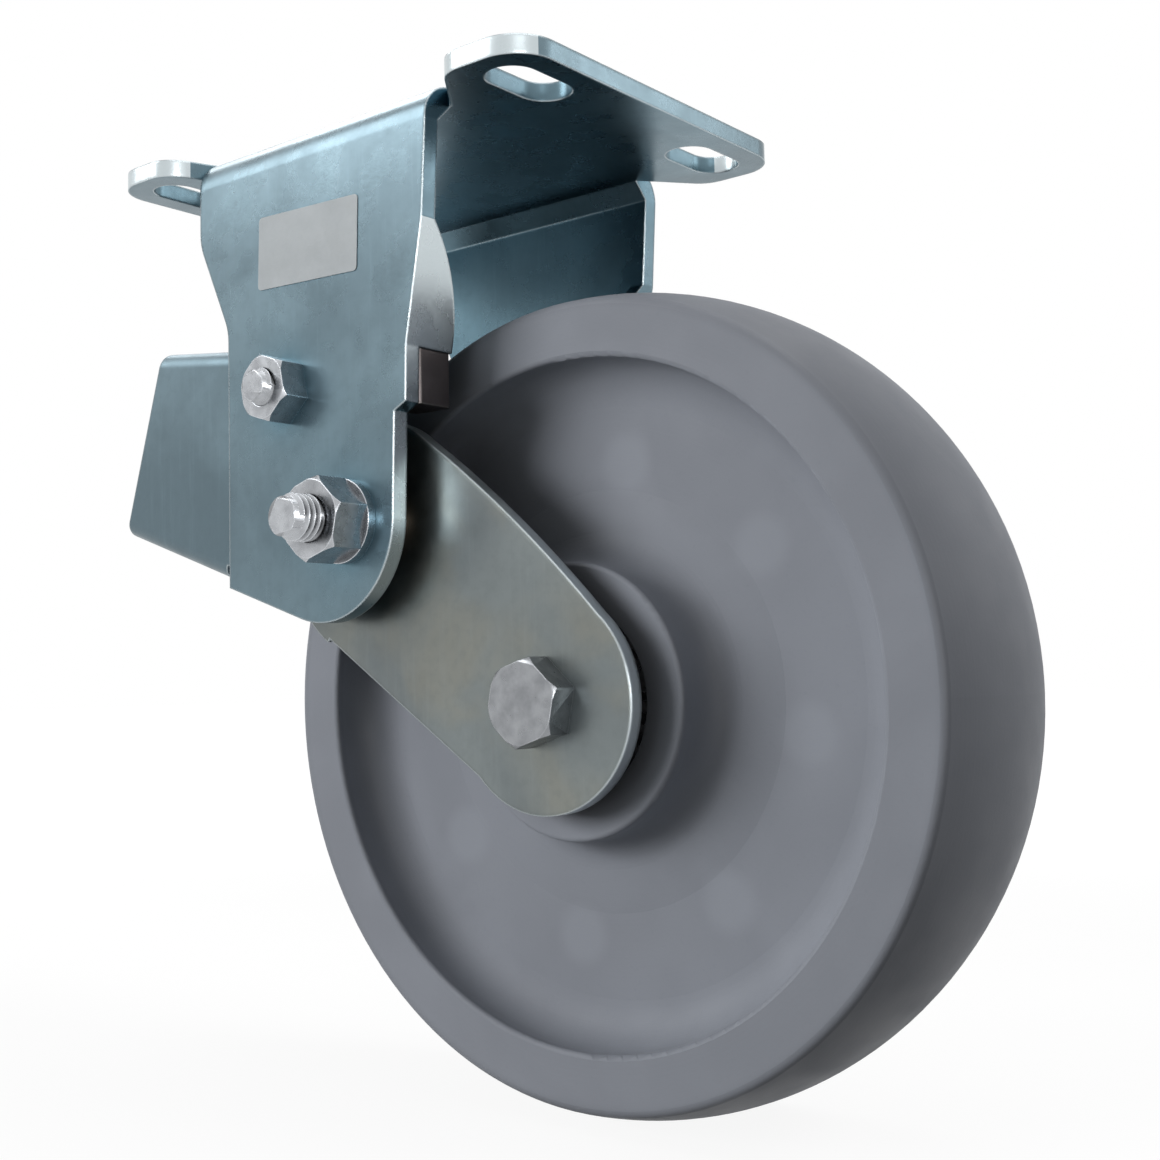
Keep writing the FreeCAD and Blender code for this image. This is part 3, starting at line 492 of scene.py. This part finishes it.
def gate_marks(nylon, along, up, radius):
    """1 in the soft round marks on the web, evenly spaced round the axle, and 0 between them."""
    sector = math.tau / GATE_COUNT
    turn = nylon.maths("SUBTRACT", nylon.maths("ARCTAN2", up, along), GATE_TURN)
    within = nylon.maths("SUBTRACT", nylon.maths("FLOORED_MODULO", turn, sector), sector / 2)
    sideways = nylon.maths("MULTIPLY", nylon.maths("SINE", within), radius)
    outward = nylon.maths("MULTIPLY", nylon.maths("COSINE", within), radius)
    apart = nylon.length(sideways, nylon.maths("SUBTRACT", outward, GATE_RING))
    return nylon.spread(apart, GATE_RADIUS * 0.45, GATE_RADIUS, 1.0, 0.0)


def plain_moulded(name, tone, rough):
    """A small plastic or rubber part with a clouded tone and a fine skin."""
    part = Finish(name)
    colour = part.blend(part.clouds(180.0, rough=0.6), darker(tone, 0.80), darker(tone, 1.10))
    # Painted highlight along the edges.
    colour = part.blend(part.highlit(0.0006), colour, darker(tone, 1.35))
    polish = part.clouds(300.0, rough - 0.08, rough + 0.08, detail=3.0, rough=0.6)
    normal = part.bump(part.noise(600.0, rough=0.6), 0.00006)
    return part.put(colour=colour, metal=0.0, rough=polish, normal=normal)


def ground_steel(name, tone, rough):
    """Ground metal with fine marks round the axle."""
    steel = Finish(name)
    marks = steel.noise(1.0, rough=0.6, place=steel.mapped((300.0, 2400.0, 300.0)))
    colour = steel.blend(steel.spread(marks, 0.35, 0.70), darker(tone, 0.75), tone)
    polish = steel.spread(marks, CLOUD_LOW, CLOUD_HIGH, rough - 0.05, rough + 0.08)
    normal = steel.bump(marks, 0.00002)
    return steel.put(colour=colour, metal=1.0, rough=polish, normal=normal)


def dress(material, *names):
    """Gives CAD nodes a finish."""
    for name in names:
        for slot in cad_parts[name].material_slots:
            slot.material = material


# Steps


def middle(name):
    """The middle of a CAD node's box."""
    low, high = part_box(name)
    return (Vector(low) + Vector(high)) / 2


def clear_selection():
    """Leaves edit mode and selects nothing."""
    if bpy.context.mode != "OBJECT":
        bpy.ops.object.mode_set(mode="OBJECT")
    bpy.ops.object.select_all(action="DESELECT")


def only(piece):
    """Makes one object the only selected and the active one."""
    clear_selection()
    piece.select_set(True)
    bpy.context.view_layer.objects.active = piece


def settle(piece, name, material):
    """Names a piece, gives it its finish and puts its place into its mesh."""
    only(piece)
    bpy.ops.object.transform_apply(location=True, rotation=True, scale=True)
    piece.name = name
    piece.data.name = name
    piece.data.materials.clear()
    piece.data.materials.append(material)
    return piece


class CASTOR_OT_dress_pressings(bpy.types.Operator):
    """Give the housing, the spring box, the blocks and the arm their zinc"""

    bl_idname = "castor.dress_pressings"
    bl_label = "Dress the pressings"

    def execute(self, context):
        colours = context.scene.castor_colours
        pale, deep, bright = colours.zinc_pale, colours.zinc_deep, colours.zinc_highlight
        # Each hollow tint below is the colour of the painted shade in corners and hollows.
        housing = plated(
            "zinc_on_housing",
            pale,
            deep,
            bright,
            rough=0.27,
            hollow_shade=(0.46, 0.84, 0.98),
            edge_highlight_mask=near_side_highlight,
        )
        box = plated(
            "zinc_on_spring_box",
            darker(pale, 0.94),
            darker(deep, 0.98),
            darker(bright, 0.9),
            rough=0.34,
            hollow_shade=(0.4, 0.5, 0.54),
        )
        arm = plated(
            "zinc_on_arm",
            colours.arm_pale,
            colours.arm_deep,
            bright,
            rough=0.36,
            hollow_shade=(0.95, 0.98, 1.0),
            edge_highlight_mask=flat_edge_highlight,
            warm=colours.arm_warm,
            edge=0.0015,
        )
        blocks = plated(
            "stained_blocks",
            linear(108, 102, 102),
            linear(86, 80, 80),
            linear(150, 146, 142),
            rough=0.42,
            hollow_shade=(0.5, 0.5, 0.5),
        )
        dress(housing, "housing")
        dress(box, "spring_box")
        dress(arm, "arm_plate_near", "arm_plate_far", "tail_plate")
        dress(blocks, "guide_block_near", "guide_block_far")
        return {"FINISHED"}


class CASTOR_OT_dress_fasteners(bpy.types.Operator):
    """Give the bolts, nuts and washers their brighter zinc"""

    bl_idname = "castor.dress_fasteners"
    bl_label = "Dress the fasteners"

    def execute(self, context):
        colours = context.scene.castor_colours
        pale, deep = colours.fastener_pale, colours.fastener_deep
        zinc = turned("zinc_on_fasteners", pale, deep, rough=0.27)
        axle = turned("zinc_on_axle", darker(pale, 0.66), darker(deep, 0.66), rough=0.32)
        dress(zinc, "through_bolt", "through_nut", "through_washer", "through_sleeve")
        dress(zinc, "pivot_bolt_near", "pivot_nut_near", "pivot_washer_near")
        dress(zinc, "pivot_bolt_far", "pivot_nut_far", "pivot_washer_far")
        dress(axle, "axle_bolt", "axle_nut", "axle_washer", "axle_tube")
        return {"FINISHED"}


class CASTOR_OT_cut_threads(bpy.types.Operator):
    """Cut the threads that stand out past the nuts"""

    bl_idname = "castor.cut_threads"
    bl_label = "Cut the threads"

    def execute(self, context):
        sizes = context.scene.castor_sizes
        coarse, fine = sizes.pitch_large, sizes.pitch_small
        zinc = bpy.data.materials["zinc_on_fasteners"]
        dull = bpy.data.materials["zinc_on_axle"]
        self.thread("pivot_bolt_near", "pivot_nut_near", -1, coarse, zinc, "frame")
        self.thread("pivot_bolt_far", "pivot_nut_far", 1, coarse, zinc, "frame")
        self.thread("through_bolt", "through_nut", -1, fine, zinc, "frame")
        self.thread("axle_bolt", "axle_nut", 1, coarse, dull, "arm")
        return {"FINISHED"}

    def thread(self, bolt, nut, side, pitch, material, body):
        """A copy of a bolt with its end turned down to the root and a thread wound on it."""
        axis = middle(nut)
        outer = 1 if side > 0 else 0
        seat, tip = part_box(nut)[outer][1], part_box(bolt)[outer][1]
        radius, core = self.turn_down(bolt, axis, seat, side, pitch)
        turns = max(1, math.floor((abs(tip - seat) - RUN_OUT * pitch) / pitch))
        tooth = self.tooth(axis, seat - RUN_IN * side * pitch, side, radius, pitch, turns)
        only(core)
        tooth.select_set(True)
        bpy.ops.object.join()
        settle(core, bolt + "_threaded", material)
        bpy.ops.object.shade_smooth_by_angle(angle=SMOOTH_BELOW)
        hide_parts(bolt)
        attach(core, body)

    def turn_down(self, bolt, axis, seat, side, pitch):
        """The thread's outer radius, and a copy of the bolt thinned to its root past the nut."""
        clear_selection()
        core = bpy.data.objects.new(bolt + "_core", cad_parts[bolt].data.copy())
        bpy.context.collection.objects.link(core)
        only(core)
        bpy.ops.object.mode_set(mode="EDIT")
        bpy.ops.mesh.select_all(action="SELECT")
        bpy.ops.mesh.remove_doubles(threshold=0.000001)
        for depth in CUTS:
            bpy.ops.mesh.select_all(action="SELECT")
            cut_at = (axis.x, seat - side * depth, axis.z)
            bpy.ops.mesh.bisect(plane_co=cut_at, plane_no=(0.0, 1.0, 0.0))
        bpy.ops.mesh.select_all(action="DESELECT")
        bpy.ops.object.mode_set(mode="OBJECT")
        radius = 0.0
        for corner in core.data.vertices:
            if side * (corner.co.y - seat) > -TURNED_TO:
                corner.select = True
                radius = max(radius, math.hypot(corner.co.x - axis.x, corner.co.z - axis.z))
        bpy.ops.object.mode_set(mode="EDIT")
        share = 1.0 - TOOTH_DEPTH * pitch / radius
        centre = (axis.x, seat, axis.z)
        bpy.ops.transform.resize(value=(share, 1.0, share), center_override=centre)
        bpy.ops.object.mode_set(mode="OBJECT")
        return radius, core

    def tooth(self, axis, start, side, radius, pitch, turns):
        """A helical tooth of whole turns with a diamond section, closed at both its ends."""
        depth = TOOTH_DEPTH * pitch
        clear_selection()
        bpy.ops.mesh.primitive_circle_add(vertices=4, radius=1.0, location=(axis.x, start, axis.z))
        tooth = bpy.context.object
        bpy.ops.object.mode_set(mode="EDIT")
        bpy.ops.mesh.select_all(action="SELECT")
        bpy.ops.transform.resize(value=(depth, TOOTH_HALF_WIDTH * pitch, 1.0))
        bpy.ops.transform.translate(value=(radius - depth, 0.0, 0.0))
        bpy.ops.object.mode_set(mode="OBJECT")
        wind = tooth.modifiers.new("wind", "SCREW")
        wind.axis = "Y"
        wind.angle = math.tau
        wind.screw_offset = side * pitch
        wind.iterations = turns
        wind.steps = STEPS_IN_A_TURN
        wind.render_steps = STEPS_IN_A_TURN
        wind.use_normal_calculate = True
        bpy.ops.object.modifier_apply(modifier="wind")
        bpy.ops.object.transform_apply(location=True, rotation=True, scale=True)
        bpy.ops.object.mode_set(mode="EDIT")
        bpy.ops.mesh.select_all(action="SELECT")
        bpy.ops.mesh.fill_holes(sides=8)
        bpy.ops.mesh.normals_make_consistent(inside=False)
        bpy.ops.object.mode_set(mode="OBJECT")
        return tooth


class CASTOR_OT_dress_wheel(bpy.types.Operator):
    """Give the wheel its grey, and the bearings, the spring and the bushes their own materials"""

    bl_idname = "castor.dress_wheel"
    bl_label = "Dress the wheel"

    def execute(self, context):
        colours = context.scene.castor_colours
        dress(moulded("grey_polyamide", colours.wheel, middle("wheel")), "wheel")
        steel = ground_steel("ground_steel", linear(150, 150, 154), rough=0.26)
        dress(steel, "bearing_spacer", "end_spacer_near", "end_spacer_far")
        dress(steel, "inner_ring_near", "inner_ring_far", "outer_ring_near", "outer_ring_far")
        dress(steel, "ball_set_near", "ball_set_far")
        rubber = plain_moulded("seal_rubber", linear(38, 38, 40), rough=0.6)
        dress(rubber, "seal_near", "seal_far")
        polymer = plain_moulded("cage_polymer", linear(120, 104, 78), rough=0.5)
        dress(polymer, "ball_cage_near", "ball_cage_far")
        elastomer = plain_moulded("spring_elastomer", linear(44, 42, 40), rough=0.62)
        dress(elastomer, "spring_block")
        bronze = ground_steel("oiled_bronze", linear(80, 68, 58), rough=0.38)
        dress(bronze, "pivot_bush_near", "pivot_bush_far")
        return {"FINISHED"}


class CASTOR_OT_add_label(bpy.types.Operator):
    """Stick the blank label on the near leg, a little out of level"""

    bl_idname = "castor.add_label"
    bl_label = "Add the label"

    def execute(self, context):
        sizes = context.scene.castor_sizes
        leg_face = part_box("pivot_washer_near")[1][1]
        clear_selection()
        bpy.ops.mesh.primitive_plane_add(
            size=1.0,
            location=(LABEL_ALONG, leg_face, LABEL_UP),
            rotation=(math.radians(90.0), LABEL_SLOPE, 0.0),
        )
        label = bpy.context.object
        size = (sizes.label_width, sizes.label_height, 1.0)
        bpy.ops.transform.resize(value=size, orient_type="LOCAL")
        settle(label, "blank_label", self.film(context.scene.castor_colours.label))
        bpy.ops.object.mode_set(mode="EDIT")
        bpy.ops.mesh.select_all(action="SELECT")
        bpy.ops.mesh.bevel(offset=LABEL_CORNER, segments=5, affect="VERTICES")
        outwards = {"value": (0.0, -sizes.label_thickness, 0.0)}
        bpy.ops.mesh.extrude_region_move(TRANSFORM_OT_translate=outwards)
        bpy.ops.mesh.select_all(action="SELECT")
        bpy.ops.mesh.normals_make_consistent(inside=False)
        bpy.ops.object.mode_set(mode="OBJECT")
        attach(label, "frame")
        return {"FINISHED"}

    def film(self, tone):
        """Thin silvered film, slightly wavy, with darker scuffs."""
        paper = Finish("label_film")
        clouds = paper.clouds(120.0, rough=0.6)
        colour = paper.blend(clouds, darker(tone, 0.93), darker(tone, 1.04))
        scuffs = paper.spread(paper.noise(520.0, rough=0.62), 0.56, 0.78, 0.0, 0.3)
        colour = paper.blend(scuffs, colour, darker(tone, 0.72))
        polish = paper.clouds(200.0, 0.38, 0.5, detail=3.0)
        normal = paper.bump(paper.noise(260.0, rough=0.6), 0.00008)
        return paper.put(colour=colour, metal=0.0, rough=polish, normal=normal)


class CASTOR_OT_set_stage(bpy.types.Operator):
    """Set the pale floor, the soft lamps, the white surround and the camera"""

    bl_idname = "castor.set_stage"
    bl_label = "Set the stage"

    def execute(self, context):
        stage = context.scene.castor_stage
        self.floor()
        self.surround(stage.room_level)
        self.lamp("top_lamp", (0.15, 0.10, 1.40), stage.top_power, (1.2, 1.2))
        for name, place, power, size in (
            ("key_lamp", (-1.10, -1.65, 0.25), stage.key_power, (1.2, 0.8)),
            ("back_lamp", (1.25, 0.50, 1.05), stage.back_power, (0.6, 0.6)),
        ):
            self.lamp(name, place, power, size).visible_glossy = False
        for name, place, power, size in (
            ("sheen_lamp", (-1.00, -1.05, 0.88), stage.sheen_power, (0.8, 0.8)),
            ("bend_lamp", (-0.90, 0.30, 1.10), stage.bend_power, (0.6, 0.6)),
            ("lip_lamp", (1.05, 1.00, 0.42), stage.lip_power, (0.5, 0.35)),
            ("edge_lamp", (1.20, -1.00, 0.05), stage.edge_power, (0.5, 0.5)),
        ):
            self.lamp(name, place, power, size).visible_diffuse = False
        self.camera(stage.lens)
        context.scene.view_settings.view_transform = "Standard"
        return {"FINISHED"}

    def floor(self):
        """A wide pale floor that the wheel stands on, and that goes over to white away from it."""
        clear_selection()
        bpy.ops.mesh.primitive_plane_add(size=FLOOR_SIZE, location=(0.0, 0.0, CAD_BOX[0][2]))
        floor = bpy.context.object
        pale = Finish("pale_floor")
        colour = pale.blend(pale.clouds(3.0, detail=3.0), (0.09, 0.09, 0.09), (0.11, 0.11, 0.11))
        path = pale.node("ShaderNodeLightPath")
        seen = pale.maths("MAXIMUM", path.outputs["Is Camera Ray"], path.outputs["Is Glossy Ray"])
        seen = pale.maths("MAXIMUM", seen, path.outputs["Is Transmission Ray"])
        away = pale.node("ShaderNodeVectorMath", operation="LENGTH")
        pale.link(pale.place, away.inputs[0])
        glow = pale.spread(away.outputs["Value"], GLOW_FROM, GLOW_TO, GLOW_LOW, GLOW_HIGH)
        pale.link(pale.maths("MULTIPLY", seen, glow), pale.shader.inputs["Emission Strength"])
        pale.shader.inputs["Emission Color"].default_value = (1.0, 1.0, 1.0, 1.0)
        pale.put(colour=colour, rough=0.9, specular=0.0)
        settle(floor, "floor", pale.material)

    def surround(self, level):
        """White to the camera and in reflections, and an even soft light from the room."""
        world = bpy.data.worlds.new("studio")
        bpy.context.scene.world = world
        world.use_nodes = True
        tree = world.node_tree
        background = tree.nodes["Background"]
        background.inputs["Color"].default_value = (1.0, 1.0, 1.0, 1.0)
        path = tree.nodes.new("ShaderNodeLightPath")
        seen = path.outputs["Is Camera Ray"]
        for kind in ("Is Glossy Ray", "Is Transmission Ray"):
            either = tree.nodes.new("ShaderNodeMath")
            either.operation = "MAXIMUM"
            tree.links.new(seen, either.inputs[0])
            tree.links.new(path.outputs[kind], either.inputs[1])
            seen = either.outputs["Value"]
        strength = tree.nodes.new("ShaderNodeMapRange")
        strength.inputs["To Min"].default_value = level
        strength.inputs["To Max"].default_value = 1.0
        tree.links.new(seen, strength.inputs["Value"])
        tree.links.new(strength.outputs["Result"], background.inputs["Strength"])

    def lamp(self, name, place, power, size):
        """A soft panel of a width and a height that looks at the castor."""
        clear_selection()
        bpy.ops.object.light_add(type="AREA", location=place)
        lamp = bpy.context.object
        lamp.name = name
        lamp.data.shape = "RECTANGLE"
        lamp.data.size, lamp.data.size_y = size
        lamp.data.energy = power
        aim = Vector(LAMPS_AIM) - Vector(place)
        lamp.rotation_euler = aim.to_track_quat("-Z", "Y").to_euler()
        return lamp

    def camera(self, lens):
        """The camera at the photographed angle."""
        clear_selection()
        bpy.ops.object.camera_add()
        camera = bpy.context.object
        camera.name = "main_camera"
        camera.data.lens = lens
        camera.data.sensor_width = 36.0
        camera.data.clip_start = 0.01
        look = Vector(CAMERA_LOOK).normalized()
        up = Vector(CAMERA_UP)
        right = look.cross(up).normalized()
        up = right.cross(look)
        turn = Matrix((right, up, -look)).transposed().to_4x4()
        camera.matrix_world = Matrix.Translation(CAMERA_PLACE) @ turn
        bpy.context.scene.camera = camera


class CASTOR_PT_panel(bpy.types.Panel):
    """Panel with the castor's colours, sizes and steps"""

    bl_idname = "CASTOR_PT_panel"
    bl_label = "Castor"
    bl_space_type = "VIEW_3D"
    bl_region_type = "UI"
    bl_category = "Castor"

    def draw(self, context):
        column = self.layout.column()
        for operator in OPERATORS:
            column.operator(operator.bl_idname)
        for name in GROUPS:
            group = getattr(context.scene, name)
            for key in group.__annotations__:
                column.prop(group, key)


OPERATORS = (
    CASTOR_OT_dress_pressings,
    CASTOR_OT_dress_fasteners,
    CASTOR_OT_cut_threads,
    CASTOR_OT_dress_wheel,
    CASTOR_OT_add_label,
    CASTOR_OT_set_stage,
)
GROUPS = {
    "castor_colours": CastorColours,
    "castor_sizes": CastorSizes,
    "castor_stage": CastorStage,
}


def register():
    """Registers the classes and puts the groups on the scene."""
    for group in GROUPS.values():
        bpy.utils.register_class(group)
    for name, group in GROUPS.items():
        setattr(bpy.types.Scene, name, bpy.props.PointerProperty(type=group))
    for operator in OPERATORS:
        bpy.utils.register_class(operator)
    bpy.utils.register_class(CASTOR_PT_panel)


def unregister():
    """Takes the groups and classes away again."""
    bpy.utils.unregister_class(CASTOR_PT_panel)
    for operator in reversed(OPERATORS):
        bpy.utils.unregister_class(operator)
    for name, group in reversed(list(GROUPS.items())):
        delattr(bpy.types.Scene, name)
        bpy.utils.unregister_class(group)


def main():
    """Runs every step in order."""
    register()
    bpy.ops.castor.dress_pressings()
    bpy.ops.castor.dress_fasteners()
    bpy.ops.castor.cut_threads()
    bpy.ops.castor.dress_wheel()
    bpy.ops.castor.add_label()
    bpy.ops.castor.set_stage()
    clear_selection()


if __name__ == "__main__":
    main()
